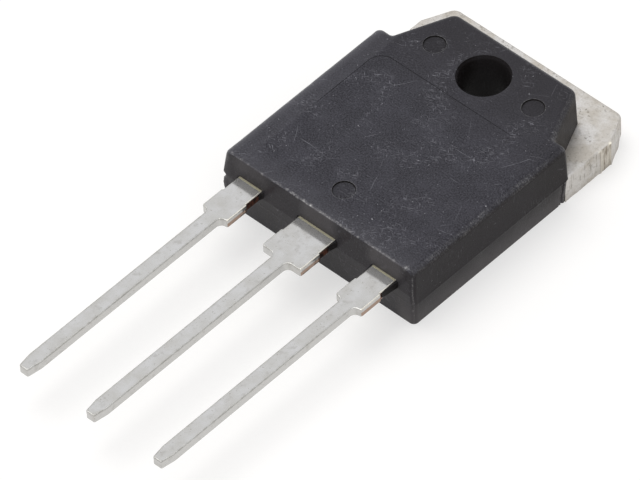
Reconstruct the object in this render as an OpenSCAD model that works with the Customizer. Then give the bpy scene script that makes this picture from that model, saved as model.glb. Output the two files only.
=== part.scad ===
// Power transistor in a flat moulded package with three leads and a drilled metal tab.
// It lies on its metal back. The origin is on the axis of the mounting hole, at the back
// face. +X runs across the leads, +Y from the leads to the tab and +Z out of the top.

/* [Case] */
// Widest width of the moulded case, at its parting line
case_w = 15.5; // [15.4:0.05:17]
// Thickness from the metal back to the top of the case
case_t = 4.8; // [4.6:0.05:5.4]
// Distance from the hole axis back to the wall that the leads leave
wall_to_hole = 14.75; // [14.4:0.05:16.5]
// Distance from the hole axis back to the shoulders beside the nose
shoulder_to_hole = 0.9; // [0.7:0.05:1.1]
// Distance from the hole axis forward to the end of the nose, at its foot
nose_reach = 2.95; // [2.8:0.05:3.4]
// Width of the nose at its foot, where it meets the shoulders
nose_root_w = 13.35; // [12.9:0.05:13.6]
// Width of the nose at its foot, at the far end
nose_end_w = 9.95; // [9.7:0.05:10.8]
// Draft of the sides, the shoulders and the nose above the parting line, in degrees
draft_top = 1.5; // [0.5:0.5:3]
// Draft of the sides below the parting line, in degrees
draft_bottom = 7; // [4:0.5:8]
// Draft of the wall that the leads leave, both above and below its parting line, in degrees
draft_wall = 5; // [2:0.5:7]
// Radius of the upright corners of the case
corner_r = 0.35; // [0.2:0.05:0.5]
// Radius of the two far corners of the nose
nose_r = 0.6; // [0.3:0.05:0.9]
// Radius in the two inner corners between nose and shoulders
valley_r = 0.35; // [0.2:0.05:0.45]
// Radius of the round-over along the top of the sides, the shoulders and the nose
edge_r = 0.5; // [0.3:0.05:0.6]
// Radius of the sharper round-over along the top of the wall that the leads leave
wall_edge_r = 0.1; // [0.05:0.01:0.2]

/* [Mounting hole] */
// Diameter of the mounting hole through the moulding
hole_d = 3.25; // [3:0.05:3.6]
// Width of the bevel at the mouth of the hole
hole_bevel = 0.1; // [0.05:0.01:0.2]
// Thickness of the moulded lining inside the hole of the flange
lining_t = 0.7; // [0.4:0.05:0.8]

/* [Ejector marks] */
// Diameter of the round marks left by the ejector pins
ejector_d = 1.42; // [1:0.02:1.6]
// Depth of the ejector marks
ejector_depth = 0.1; // [0.05:0.01:0.2]
// Distance from the hole axis to each of the two marks beside it
ejector_x = 4.02; // [3.6:0.02:4.1]
// Distance from the lead wall to the middle mark
ejector_to_wall = 2.45; // [1.8:0.05:4]

/* [Flange] */
// Thickness of the metal flange
flange_t = 2; // [1.6:0.05:2.2]
// How far each side of the case would stand out past the bare tab if both had one middle
tab_inset = 0; // [0:0.05:0.3]
// How far the flange sits off the middle of the case, towards the base lead
flange_off = 0.13; // [0:0.01:0.2]
// How far each side of the case stands out past the back of the flange inside it
flange_inset = 0.95; // [0.85:0.05:1.3]
// Distance from the hole axis to the end of the tab
tab_reach = 4.95; // [4.7:0.05:5.6]
// How far the full width of the tab reaches back under the shoulders
tab_under = 0.35; // [0.2:0.05:0.6]
// Plastic left between the lead wall and the back of the flange
wall_to_flange = 1.3; // [1.1:0.05:1.6]
// Width taken off each corner of the tab
chamfer_x = 0.95; // [0.6:0.05:1.3]
// Length of the slanted corner of the tab
chamfer_y = 2.1; // [1.5:0.05:2.4]
// Radius at the end of each slanted corner
tab_r = 0.6; // [0.3:0.05:0.8]
// Width of the cut tie bar on each side of the tab
tie_w = 0.95; // [0.6:0.05:1.1]
// How far the cut tie bars stand out of the tab
tie_out = 0.05; // [0.02:0.01:0.2]
// Distance from the hole axis to the middle of the tie bars
tie_y = 2.35; // [1.9:0.05:2.4]
// How far the locking ledge inside the case stands out of the flange
ledge_out = 0.35; // [0.2:0.05:0.45]
// Height of the locking ledge above the back face
ledge_z = 0.8; // [0.5:0.05:1.1]
// Diameter of the two rivets that hold the middle lead
rivet_d = 1.1; // [0.8:0.05:1.3]
// Diameter of the flattened rivet heads
rivet_head_d = 1.7; // [1.5:0.05:1.9]
// Thickness of the flattened rivet heads
rivet_head_t = 0.25; // [0.15:0.05:0.35]
// Distance from the middle of the flange to each rivet
rivet_x = 1.65; // [1.5:0.05:1.7]

/* [Leads] */
// Distance from one lead to the next
pitch = 5.45; // [5.35:0.05:5.6]
// Thickness of the lead metal
lead_t = 0.6; // [0.45:0.05:0.7]
// Height of the underside of the leads above the metal back
lead_z = 2.84; // [2.76:0.02:2.96]
// Length of the leads outside the case
lead_len = 19.4; // [12:0.1:22]
// Width of the narrow part of each lead
lead_w = 1; // [0.8:0.05:1.2]
// Width of the outer leads beside the case
outer_root_w = 1.88; // [1.6:0.02:2.2]
// Width of the middle lead beside the case
middle_root_w = 2.96; // [2.6:0.02:3.3]
// Length of the wide part of the leads outside the case
root_len = 3.1; // [2.4:0.05:4]
// Length of the cut stubs of the strip that joined the leads
stub_len = 1.7; // [1:0.05:2]
// How far the cut stubs stand out of each side
stub_out = 0.09; // [0.04:0.01:0.15]
// Radius of the fillet between the wide and the narrow part
fillet_r = 0.4; // [0.2:0.02:0.5]
// Width of the tip of each lead
tip_w = 0.68; // [0.5:0.02:0.76]
// Length of the tapered tip
tip_len = 1; // [0.5:0.05:1.6]

/* [Inside the case] */
// Length of the neck of each outer lead between the lead wall and its bond pad
neck_len = 0.8; // [0.6:0.05:1.1]
// Length of the bond pads of the outer leads
pad_len = 2.6; // [2.2:0.05:3]
// Width of the bond pads
pad_w = 3.2; // [2.8:0.05:3.4]
// Diameter of the anchor hole in each bond pad
anchor_d = 0.8; // [0.6:0.05:0.9]
// Distance from the neck to the middle of the anchor hole
anchor_y = 0.75; // [0.7:0.05:0.9]
// Distance from the lead wall to the bend of the middle lead
bend_start = 0.8; // [0.6:0.05:0.9]
// Slope of the bent stretch of the middle lead, in degrees
bend_angle = 60; // [50:1:70]
// Width of the paddle of the middle lead
paddle_w = 5.4; // [5.1:0.05:5.6]
// Length of the paddle on the flange
paddle_len = 2.1; // [2:0.05:2.3]
// Side of the silicon chip
chip_w = 4.6; // [3.8:0.1:4.9]
// Thickness of the silicon chip
chip_t = 0.3; // [0.25:0.05:0.4]
// Thickness of the solder under the chip
solder_t = 0.08; // [0.05:0.01:0.12]
// How far the solder spreads past the chip on each side
solder_rim = 0.15; // [0.1:0.05:0.25]
// Distance from the lead wall to the middle of the chip
chip_to_wall = 8; // [7.8:0.1:8.4]
// Diameter of the two emitter wires
emitter_wire_d = 0.38; // [0.3:0.02:0.42]
// Diameter of the base wire
base_wire_d = 0.25; // [0.2:0.01:0.3]
// Distance between the two emitter wires
wire_gap = 0.9; // [0.7:0.05:1]
// Distance from the middle of the base lead's pad to its wire, towards the middle lead
base_foot_x = 0.8; // [0.4:0.05:1.1]
// Distance from the middle of the emitter lead's pad to its pair of wires, towards the middle lead
emitter_foot_x = 0.55; // [0.3:0.05:0.7]
// Distance from the middle of the chip to the base wire's end, both back and to the side
base_bond = 1.15; // [0.8:0.05:1.3]
// Distance from the middle of the chip to the middle of the emitter wires' ends
emitter_bond = 0.9; // [0.6:0.05:1]
// Height of each wire loop above the straight line between its ends
loop_h = 0.7; // [0.5:0.05:0.75]
// Length of the flattened foot at each end of a wire
foot_len = 0.8; // [0.7:0.05:1]

/* [Hidden] */

// Places along Y, from the mounting hole
wall_y = -wall_to_hole;
shoulder_y = -shoulder_to_hole;
tab_root_y = shoulder_y - tab_under;
flange_y = wall_y + wall_to_flange;
chip_y = wall_y + chip_to_wall;
root_y = wall_y - root_len;
tip_y = wall_y - lead_len;
pad_y = wall_y + neck_len;

// Heights
lead_top = lead_z + lead_t;
chip_z = flange_t + solder_t;
chip_top = chip_z + chip_t;

// The slanted stretch of the middle lead: its run along Y and the shift of its mitred corners
bend_run = (lead_z - flange_t) / tan(bend_angle);
bend_shift = lead_t * tan(bend_angle / 2);
paddle_y = wall_y + bend_start + bend_run + bend_shift;
rivet_y = paddle_y + paddle_len / 2;

// Widths of the flange
tab_w = case_w - 2 * tab_inset;
flange_w = case_w - 2 * flange_inset;
flange_hole_d = hole_d + 2 * lining_t;

steps = 6;       // points on each rounded corner
edge_steps = 6;  // steps of the round-over along the top edge
fine = 64;       // smoothness of every true circle
past = 1;        // how far a cutting shape reaches past the face it cuts
lap = 0.1;       // how far joined shapes reach into each other

// How far the nose narrows for each millimetre along it
nose_slant = (nose_root_w - nose_end_w) / 2 / (nose_reach + shoulder_to_hole);

// The direction of a vector as a vector of length one
function unit(v) = v / norm(v);

// The arc that rounds corner b between its neighbours a and c, with radius r.
// It works for outward and inward corners alike, because the centre lies between the sides.
function corner_arc(a, b, c, r) =
    let (u = unit(a - b), v = unit(c - b), half = acos(u * v) / 2,
         centre = b + unit(u + v) * r / sin(half),
         from = b + u * r / tan(half) - centre,
         to = b + v * r / tan(half) - centre,
         turn = atan2(from.x * to.y - from.y * to.x, from * to),
         start = atan2(from.y, from.x))
    [for (i = [0:steps]) centre + r * [cos(start + turn * i / steps), sin(start + turn * i / steps)]];

// Half the width of the nose at y, with its slanted flanks leant in by lean, square to them
function nose_half(y, lean) =
    nose_root_w / 2 - nose_slant * (y - shoulder_y) - lean * norm([1, nose_slant]);

// Outline of the case at one height, anticlockwise, as the walls lean in there:
// the sides, the lead wall, and the shoulders and the nose
function case_outline(side, wall, back) =
    let (x = case_w / 2 - side, y0 = wall_y + wall, y1 = shoulder_y - back, y2 = nose_reach - back,
         right = [[x, y0], [x, y1], [nose_half(y1, back), y1], [nose_half(y2, back), y2]],
         left = [for (i = [3:-1:0]) [-right[i].x, right[i].y]],
         p = concat(right, left),
         radii = [corner_r, corner_r, valley_r, nose_r, nose_r, valley_r, corner_r, corner_r])
    [for (i = [0:7]) each corner_arc(p[(i + 7) % 8], p[i], p[(i + 1) % 8], radii[i])];

// How far an edge of radius r, rounded over at the top of the case, has drawn in at height z
function rounding(z, r) =
    let (rise = max(0, z - case_t + r)) r - sqrt(max(0, r * r - rise * rise));

// One ring of the case's skin at height z, above or below the parting line. The line lies at
// the flange's top on the sides and at the underside of the leads on the lead wall.
function case_ring(z) =
    let (back = max(0, z - flange_t) * tan(draft_top) + rounding(z, edge_r),
         side = back + max(0, flange_t - z) * tan(draft_bottom),
         wall = abs(z - lead_z) * tan(draft_wall) + rounding(z, wall_edge_r))
    [for (p = case_outline(side, wall, back)) [p.x, p.y, z]];

// A solid skin through rings of equally many points, from the lowest to the highest
module loft(rings) {
    n = len(rings[0]);
    top = len(rings) - 1;
    polyhedron(
        points = [for (ring = rings) each ring],
        faces = concat(
            [[for (i = [0:n - 1]) i]],
            [[for (i = [n - 1:-1:0]) top * n + i]],
            [for (k = [0:top - 1], i = [0:n - 1])
                let (j = (i + 1) % n) [k * n + i, (k + 1) * n + i, (k + 1) * n + j, k * n + j]]));
}

// The outer form of the moulding, from the back face to the rounded top edge
module case_form() {
    loft([
        case_ring(0),
        case_ring(flange_t),
        case_ring(lead_z),
        for (i = [0:edge_steps]) case_ring(case_t - edge_r * (1 - sin(90 * i / edge_steps)))
    ]);
}

// Everything that the plastic leaves free: the tab behind the shoulders, round the lining
module tab_space() {
    difference() {
        translate([-case_w, tab_root_y, -past]) cube([2 * case_w, 4 * tab_reach, flange_t + past]);
        translate([-flange_off, 0, -2 * past])
            cylinder(d = flange_hole_d, h = flange_t + 3 * past, $fn = fine);
    }
}

module ejector_mark() {
    translate([0, 0, case_t - ejector_depth]) cylinder(d = ejector_d, h = ejector_depth + past, $fn = fine);
}

module mounting_bore() {
    translate([0, 0, -past]) cylinder(d = hole_d, h = case_t + 2 * past, $fn = fine);
    translate([0, 0, case_t - hole_bevel])
        cylinder(d1 = hole_d, d2 = hole_d + 4 * hole_bevel, h = 2 * hole_bevel, $fn = fine);
}

module moulded_case() {
    color("#3d3c42") difference() {
        case_form();
        tab_space();
        mounting_bore();
        for (x = [-ejector_x, ejector_x]) translate([x, 0]) ejector_mark();
        translate([0, wall_y + ejector_to_wall]) ejector_mark();
        heat_sink_flange();
        base_lead();
        collector_lead();
        emitter_lead();
        die_solder();
        silicon_chip();
        base_wire_form();
        for (side = [-1, 1]) emitter_wire_form(side);
    }
}

// Half of the flange's outline as a stamping leaves it, about its own middle and on the +X side,
// with the slanted corner cut to the points where its arc begins and ends
module flange_half() {
    side = tab_w / 2;
    corner = [side - chamfer_x, tab_reach];
    slant = unit([chamfer_x, -chamfer_y]);
    half = acos(slant * [-1, 0]) / 2;
    from = corner + slant * tab_r / tan(half);
    to = corner + [-1, 0] * tab_r / tan(half);
    polygon([[0, flange_y], [flange_w / 2, flange_y], [flange_w / 2, tab_root_y], [side, tab_root_y],
             [side, tab_reach - chamfer_y], from, to, [0, tab_reach]]);
    translate([to.x, tab_reach - tab_r]) circle(tab_r, $fn = fine);
    translate([side - lap, tie_y - tie_w / 2]) square([lap + tie_out, tie_w]);
}

module heat_sink_flange() {
    color("#c8c5c0") {
        translate([-flange_off, 0]) difference() {
            union() {
                linear_extrude(flange_t) {
                    flange_half();
                    mirror([1, 0]) flange_half();
                }
                // The ledge that the plastic grips, along both sides and the inner end
                translate([-flange_w / 2 - ledge_out, flange_y - ledge_out, ledge_z])
                    cube([flange_w + 2 * ledge_out, tab_root_y - flange_y + 2 * ledge_out,
                          flange_t - ledge_z]);
            }
            translate([0, 0, -past]) cylinder(d = flange_hole_d, h = flange_t + 2 * past, $fn = fine);
        }
        for (x = [-rivet_x, rivet_x]) translate([x, rivet_y, flange_t]) rivet();
    }
}

// A pin of the flange's own metal that stands through the paddle and is flattened over it
module rivet() {
    translate([0, 0, -lap]) cylinder(d = rivet_d, h = lead_t + lap, $fn = fine);
    translate([0, 0, lead_t]) cylinder(d = rivet_head_d, h = rivet_head_t, $fn = fine);
}

// Outline of one lead outside the case: wide part, cut stubs, shoulders, shank and tapered tip
module lead_outline(root_w, inside) {
    shoulder = root_w / 2 + stub_out;
    r = min(fillet_r, shoulder - lead_w / 2);
    translate([-root_w / 2, root_y]) square([root_w, root_len + inside]);
    translate([-shoulder, root_y]) square([2 * shoulder, stub_len]);
    polygon([[-tip_w / 2, tip_y], [tip_w / 2, tip_y], [lead_w / 2, tip_y + tip_len],
             [lead_w / 2, root_y + lap], [-lead_w / 2, root_y + lap], [-lead_w / 2, tip_y + tip_len]]);
    for (side = [0, 1]) mirror([side, 0]) difference() {
        translate([lead_w / 2 - lap, root_y - r]) square([r + lap, r + lap]);
        translate([lead_w / 2 + r, root_y - r]) circle(r, $fn = fine);
    }
}

// An outer lead, with the bond pad that the plastic holds by its anchor hole
module outer_lead(x) {
    translate([x, 0, lead_z]) linear_extrude(lead_t) difference() {
        union() {
            lead_outline(outer_root_w, neck_len + lap);
            translate([-pad_w / 2, pad_y]) square([pad_w, pad_len]);
        }
        translate([0, pad_y + anchor_y]) circle(d = anchor_d, $fn = fine);
    }
}

module base_lead() {
    color("#cdccca") outer_lead(-pitch);
}

module emitter_lead() {
    color("#cdccca") outer_lead(pitch);
}

// Side view of the middle lead: level outside the case, bent down to lie on the flange
module collector_side() {
    bend_y = wall_y + bend_start;
    end_y = paddle_y + paddle_len;
    polygon([[tip_y - past, lead_z], [bend_y, lead_z], [bend_y + bend_run, flange_t], [end_y, flange_t],
             [end_y, flange_t + lead_t], [bend_y + bend_run + bend_shift, flange_t + lead_t],
             [bend_y + bend_shift, lead_top], [tip_y - past, lead_top]]);
}

module collector_lead() {
    color("#cdccca") intersection() {
        rotate([90, 0, 90]) translate([0, 0, -paddle_w]) linear_extrude(2 * paddle_w) collector_side();
        linear_extrude(case_t) difference() {
            union() {
                lead_outline(middle_root_w, paddle_y - wall_y + lap);
                translate([-paddle_w / 2, paddle_y]) square([paddle_w, paddle_len]);
            }
            for (x = [-rivet_x, rivet_x]) translate([x, rivet_y]) circle(d = rivet_d, $fn = fine);
        }
    }
}

module silicon_chip() {
    color("#5b6570") translate([-chip_w / 2, chip_y - chip_w / 2, chip_z]) cube([chip_w, chip_w, chip_t]);
}

module die_solder() {
    side = chip_w + 2 * solder_rim;
    color("#9a9a98") translate([-side / 2, chip_y - side / 2, flange_t]) cube([side, side, solder_t]);
}

// A wire of diameter d in an upright plane: an arc from a to b, with a flattened foot at each end
module bond_wire(a, b, d) {
    way = [b.x - a.x, b.y - a.y];
    span = norm(way);
    rise = b.z - a.z;
    chord = norm([span, rise]);
    r = (chord * chord / 4 + loop_h * loop_h) / (2 * loop_h);
    tilt = atan2(rise, span);
    centre = [span / 2 + sin(tilt) * (r - loop_h), rise / 2 - cos(tilt) * (r - loop_h)];
    from = atan2(rise - centre.y, span - centre.x);
    to = atan2(-centre.y, -centre.x);
    translate(a) rotate([0, 0, atan2(way.y, way.x)]) {
        translate([centre.x, 0, centre.y]) rotate([90, 0, 0]) rotate([0, 0, from])
            rotate_extrude(angle = to - from, $fn = fine) translate([r, 0]) circle(d = d, $fn = fine);
        translate([d / 2 - foot_len, 0, 0]) rotate([0, 90, 0]) cylinder(d = d, h = foot_len, $fn = fine);
        translate([span - d / 2, 0, rise]) rotate([0, 90, 0]) cylinder(d = d, h = foot_len, $fn = fine);
    }
}

// Each wire's foot sinks a quarter of its diameter into the pad and the chip, which flatten it
module base_wire_form() {
    sink = base_wire_d / 4;
    bond_wire([-pitch + base_foot_x, pad_y + pad_len - foot_len, lead_top + sink],
              [-base_bond, chip_y - base_bond, chip_top + sink], base_wire_d);
}

module emitter_wire_form(side) {
    sink = emitter_wire_d / 4;
    shift = side * wire_gap / 2;
    bond_wire([pitch - emitter_foot_x + shift, pad_y + pad_len - foot_len, lead_top + sink],
              [emitter_bond + shift, chip_y, chip_top + sink], emitter_wire_d);
}

module base_wire() {
    color("#d8d8da") difference() {
        base_wire_form();
        base_lead();
        silicon_chip();
    }
}

module emitter_wire(side) {
    color("#d8d8da") difference() {
        emitter_wire_form(side);
        emitter_lead();
        silicon_chip();
    }
}

moulded_case();
heat_sink_flange();
base_lead();
collector_lead();
emitter_lead();
silicon_chip();
die_solder();
base_wire();
emitter_wire(-1);  // emitter_wire_1
emitter_wire(1);  // emitter_wire_2
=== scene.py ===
# A power transistor in a flat moulded package, lying on its metal back on a pale table.
import math

import bmesh
import bpy
import numpy as np
from mathutils import Matrix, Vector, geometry


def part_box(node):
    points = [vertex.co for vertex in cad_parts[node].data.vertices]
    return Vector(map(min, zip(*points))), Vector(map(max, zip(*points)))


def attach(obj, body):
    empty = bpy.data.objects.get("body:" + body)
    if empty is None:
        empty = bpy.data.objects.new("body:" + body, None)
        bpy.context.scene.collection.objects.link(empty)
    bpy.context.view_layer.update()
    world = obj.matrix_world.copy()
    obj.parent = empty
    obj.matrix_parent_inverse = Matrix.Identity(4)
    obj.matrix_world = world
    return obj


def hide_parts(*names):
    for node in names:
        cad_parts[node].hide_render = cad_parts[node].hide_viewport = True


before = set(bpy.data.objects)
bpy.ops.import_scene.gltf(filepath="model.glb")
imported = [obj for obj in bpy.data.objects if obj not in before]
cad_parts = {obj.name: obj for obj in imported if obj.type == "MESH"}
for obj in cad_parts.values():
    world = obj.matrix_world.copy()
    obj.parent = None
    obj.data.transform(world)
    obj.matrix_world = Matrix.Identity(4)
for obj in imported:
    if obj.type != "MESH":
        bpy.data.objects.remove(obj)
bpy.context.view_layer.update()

# THE MOULDED CASE
# Black epoxy, pressed hot round the metal frame in a steel mould. Its walls draw in above and below
# the parting line, and its edges are rubbed pale and nicked from lying loose among others.
mm = 0.001
low, high = (np.array(corner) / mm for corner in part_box("moulded_case"))
case_half, nose_y, case_top = high        # half width at the parting line, far end of the nose, top
wall_y = low[1]           # the wall that the leads leave
shoulder_y = -0.9         # the shoulders beside the nose
nose_root, nose_end = 6.675, 4.975        # half widths of the nose at its two ends
side_line, wall_line = 2.0, 2.84          # heights of the parting line on the sides and on the lead wall
lean_above, lean_below, lean_wall = (math.tan(math.radians(draft)) for draft in (1.5, 7, 5))
corner_r, valley_r, nose_r = 0.35, 0.35, 0.6
edge_r, wall_edge_r = 0.5, 0.1            # the sides are rounded into the top, the lead wall hardly is
tab_root_y = -1.25        # where the bare tab begins below the shoulders
flange_x = -0.13          # the flange lies this far off the case's middle
case_foot = 0.02          # the plastic ends this far above the metal back
hole_r, lining_r, hole_bevel = 1.625, 2.325, 0.1
ejectors = [(-4.02, 0), (4.02, 0), (0, wall_y + 2.45)]
ejector_r, ejector_depth = 0.71, 0.1
insert_x, insert_low, insert_high = 6.13, wall_y + 3.6, -2.55     # the line left by the mould's insert
insert_r = 1.0
lead_pitch, outer_half, middle_half = 5.45, 0.94, 1.48   # spacing of the leads, half widths beside the wall


def unit(v):
    """Vectors scaled to length one: each divided by the root of the sum of its squares."""
    return v / np.linalg.norm(v, axis=-1, keepdims=True)


def rounded(corners, radii, parts, arc):
    """Closed outline through corners with rounded turns. At corner b with neighbours a and c the arc's centre
    lies on the bisector, r / sin(half the angle) away, and the arc begins and ends r / tan(half the angle)
    from b. Each arc is swept in equal angles, and each straight after it is cut into equal parts."""
    b = np.array(corners, float)
    r = np.array(radii, float)[:, None]
    u, v = unit(np.roll(b, 1, 0) - b), unit(np.roll(b, -1, 0) - b)
    half = np.arccos((u * v).sum(1, keepdims=True)) / 2
    centre = b + unit(u + v) * r / np.sin(half)
    start, end = b + u * r / np.tan(half) - centre, b + v * r / np.tan(half) - centre
    turn = np.arctan2(start[:, 0] * end[:, 1] - start[:, 1] * end[:, 0], (start * end).sum(1))
    angle = np.arctan2(start[:, 1], start[:, 0])[:, None] + turn[:, None] * np.linspace(0, 1, arc + 1)
    arcs = centre[:, None] + r[:, None] * np.stack([np.cos(angle), np.sin(angle)], 2)
    runs = [a + (c - a) * np.linspace(0, 1, n + 1)[1:-1, None]
            for a, c, n in zip(arcs[:, -1], np.roll(arcs[:, 0], -1, 0), parts)]
    return np.concatenate([part for pair in zip(arcs, runs) for part in pair])


def grain(points, size, seed):
    """Smooth random relief from 0 to 1 with hills about size apart: random heights on a cubic lattice,
    blended between neighbours by the smooth step 3 t^2 - 2 t^3 along each axis."""
    heights = np.random.default_rng(seed).random((32, 32, 32))
    q = np.asarray(points) / size
    cell = np.floor(q).astype(int)
    t = q - cell
    t = t * t * (3 - 2 * t)
    total = 0
    for step in np.ndindex(2, 2, 2):
        i, j, k = np.moveaxis((cell + step) % 32, -1, 0)
        total = total + np.where(step, t, 1 - t).prod(-1) * heights[i, j, k]
    return total


def outward(rings):
    """Outward direction at each point of a wall of closed rings: the cross product of the step along the
    ring, which closes on itself, and the step up the wall."""
    return unit(np.cross(np.roll(rings, -1, 1) - np.roll(rings, 1, 1), np.gradient(rings, axis=0)))


def closed(rings):
    """Rings with their first column repeated at the end, so that the wall closes."""
    return np.concatenate([rings, rings[:, :1]], 1)


def revolved(profile, centre, steps=64):
    """A profile of (radius, height) points turned round the upright line through centre."""
    angle = np.linspace(0, 2 * np.pi, steps + 1)
    r, z = np.array(profile, float).T[:, :, None]
    return np.stack([centre[0] + r * np.cos(angle), centre[1] + r * np.sin(angle), z + 0 * angle], -1)


def plate(loops, spacing):
    """Flat sheet between closed loops, the first its rim and the others holes in it: triangles by Delaunay's
    rule, that no point lies in the circle through a triangle's corners, through the loops and through a
    lattice of points inside them. A point is inside if a line to one side of it crosses the loops an odd
    number of times."""
    rim = np.concatenate(loops)
    a, b = rim[:, :2], np.concatenate([np.roll(loop, -1, 0) for loop in loops])[:, :2]
    xs, ys = (np.arange(lo + spacing / 3, hi, spacing) for lo, hi in zip(a.min(0), a.max(0)))
    x, y = (axis.ravel()[:, None] for axis in np.meshgrid(xs, ys))
    crossed = (a[:, 1] > y) != (b[:, 1] > y)
    run = np.where(crossed, b[:, 1] - a[:, 1], 1)
    inside = (crossed & (x < a[:, 0] + (y - a[:, 1]) * (b[:, 0] - a[:, 0]) / run)).sum(1) % 2 == 1
    clear = np.hypot(x - a[:, 0], y - a[:, 1]).min(1) > spacing / 2
    keep = inside & clear
    lattice = np.column_stack([x[keep], y[keep], np.full(keep.sum(), rim[:, 2].mean())])
    points = np.concatenate([rim, lattice])
    owner = [np.full(len(loop), k) for k, loop in enumerate(loops)]
    owner = np.concatenate([*owner, np.full(len(lattice), -1)])
    edges, first = [], 0
    for loop in loops:
        i = np.arange(len(loop))
        edges += np.column_stack([i + first, (i + 1) % len(loop) + first]).tolist()
        first += len(loop)
    found = geometry.delaunay_2d_cdt(points[:, :2].tolist(), edges, [], 1, 1e-7)
    source = np.array([origin[0] for origin in found[3]])
    faces = source[np.array(found[2])]
    of = owner[faces]
    in_hole = (of[:, 0] > 0) & (of[:, 0] == of[:, 1]) & (of[:, 1] == of[:, 2])
    return points, faces[~in_hole]


def make_piece(name, parts, marks=None):
    """One object from several sheets. A sheet is a grid of points, whose neighbours make four-cornered faces,
    or a pair of points and faces. marks gives named numbers for each point of the grids, in order. Points
    that meet are joined, so that the sheets close into one skin whose faces are then turned outwards."""
    points, faces, shift = [], [], 0
    for part in parts:
        if isinstance(part, tuple):
            flat, sheet = part
        else:
            rows, columns = part.shape[:2]
            i = np.arange(rows * columns).reshape(rows, columns)
            flat = part.reshape(-1, 3)
            sheet = np.stack([i[:-1, :-1], i[:-1, 1:], i[1:, 1:], i[1:, :-1]], -1).reshape(-1, 4)
        points.append(flat)
        faces += (sheet + shift).tolist()
        shift += len(flat)
    mesh = bpy.data.meshes.new(name)
    mesh.from_pydata((np.concatenate(points) * mm).tolist(), [], faces)
    for mark, values in (marks or {}).items():
        whole = np.zeros(shift)
        values = np.concatenate([v.ravel() for v in values])
        whole[:len(values)] = values
        mesh.attributes.new(mark, "FLOAT", "POINT").data.foreach_set("value", whole)
    shell = bmesh.new()
    shell.from_mesh(mesh)
    bmesh.ops.remove_doubles(shell, verts=shell.verts, dist=0.001 * mm)
    bmesh.ops.dissolve_degenerate(shell, edges=shell.edges, dist=0.0001 * mm)
    bmesh.ops.recalc_face_normals(shell, faces=shell.faces)
    shell.to_mesh(mesh)
    shell.free()
    mesh.shade_smooth()
    mesh.set_sharp_from_angle(angle=math.radians(32))
    piece = bpy.data.objects.new(name, mesh)
    bpy.context.scene.collection.objects.link(piece)
    return piece


def case_ring(z, inset=0.0):
    """Outline of the case at height z. Each wall leans in by the tangent of its draft times the height from
    its parting line, by r - sqrt(r^2 - h^2) where it has come h into the rounding of radius r under the top,
    and by inset more. The flanks of the nose lean in square to themselves."""
    above = z > side_line
    side = abs(z - side_line) * (lean_above if above else lean_below)
    wall = abs(z - wall_line) * lean_wall
    turn_in, wall_turn_in = (r - math.sqrt(r * r - max(z - case_top + r, 0) ** 2)
                             for r in (edge_r, wall_edge_r))
    back = side + turn_in + inset if above else 0
    slant = (nose_root - nose_end) / (nose_y - shoulder_y)
    x, y0 = case_half - side - turn_in - inset, wall_y + wall + wall_turn_in + inset
    y1, y2 = shoulder_y - back, nose_y - back
    x1, x2 = (nose_root - slant * (y - shoulder_y) - back * math.hypot(1, slant) for y in (y1, y2))
    right = [(x, y0), (x, y1), (x1, y1), (x2, y2)]
    radii = [corner_r, corner_r, valley_r, nose_r]
    flat = rounded(right + [(-a, b) for a, b in reversed(right)], radii + radii[::-1],
                   (260, 5, 36, 86, 36, 5, 260, 150), 12)
    return np.column_stack([flat, np.full(len(flat), z)])


# Heights of the rings, closer together at the parting lines, and then the rounded edge up to the top
below = [case_foot, 0.04, 0.2, 0.5, 0.8, 1.1, 1.4, 1.65, 1.85, 1.96, side_line]
above = [2.04, 2.2, 2.45, 2.65, 2.8, wall_line, 2.88, 3.0, 3.2, 3.45, 3.7, 3.95, 4.15, 4.26]
edge = [case_top - edge_r * (1 - math.sin(a)) for a in np.radians(np.arange(0, 91, 7.5))]
levels = [(z, 0) for z in below + above + edge] + [(case_top, 0.03), (case_top, 0.12)]
rings = np.array([case_ring(z, inset) for z, inset in levels])
facing = outward(rings)
x, y, z = np.moveaxis(rings, -1, 0)
nx, ny, nz = np.moveaxis(facing, -1, 0)

# How pale each point is painted: wear in a thin, interrupted line on the lead wall's upper edge, in patches
# on the rounded edges and in fine lines along the parting line, and fine lines up the corners that are partly
# wear and partly a painted highlight
at_wall_top, below_top = y < wall_y + 0.36, z - case_top + 0.02
wall_edge = np.exp(-(below_top / 0.03) ** 2) * at_wall_top * np.clip(grain(rings, 1.1, 9) * 3 - 0.9, 0, 1)
round_edge = np.clip(nz * 5, 0, 1) * np.clip((1 - nz) * 6, 0, 1) * (nz > 0.08) * (y > wall_y + 0.3)
patches = grain(rings, 0.9, 1) * grain(rings, 0.25, 2)
# The lines up the corners are partly wear and partly a painted highlight
upright = np.clip(2 * np.abs(nx * ny), 0, 1) ** 24 * (z < case_top - 0.1)
seam = np.exp(-((z - np.where(y < wall_y + 0.5, wall_line, side_line)) / 0.03) ** 2)
wear_and_highlight = np.clip(wall_edge + round_edge * (0.5 * patches + 0.21) + 0.95 * upright + 0.1 * seam, 0, 1)

# Painted light: the lower walls are painted paler downwards, a painted reflection of the lit table, and the
# lead wall above the leads is painted paler, a painted reflection of the tin
on_wall = y < wall_y + 0.5
table_glow = np.clip((np.where(on_wall, wall_line, side_line) - z) / np.where(on_wall, 2.44, 1.6), 0, 1.2) ** 1.4
table_glow = table_glow * np.where(on_wall, np.clip((np.abs(x) - 6) / 0.7, 0, 1), 1)
from_lead = np.abs((x + lead_pitch / 2) % lead_pitch - lead_pitch / 2)
over_lead = np.clip((1.65 - from_lead) / 0.7, 0, 1) * np.clip((z - np.where(x < -3, 3.6, 3.3)) / 0.6, 0, 1)
over_lead = over_lead * np.where(x < -3, 0.65, 1)
painted_reflection = 0.28 * table_glow + 0.2 * over_lead * on_wall * (z < case_top)

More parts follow.
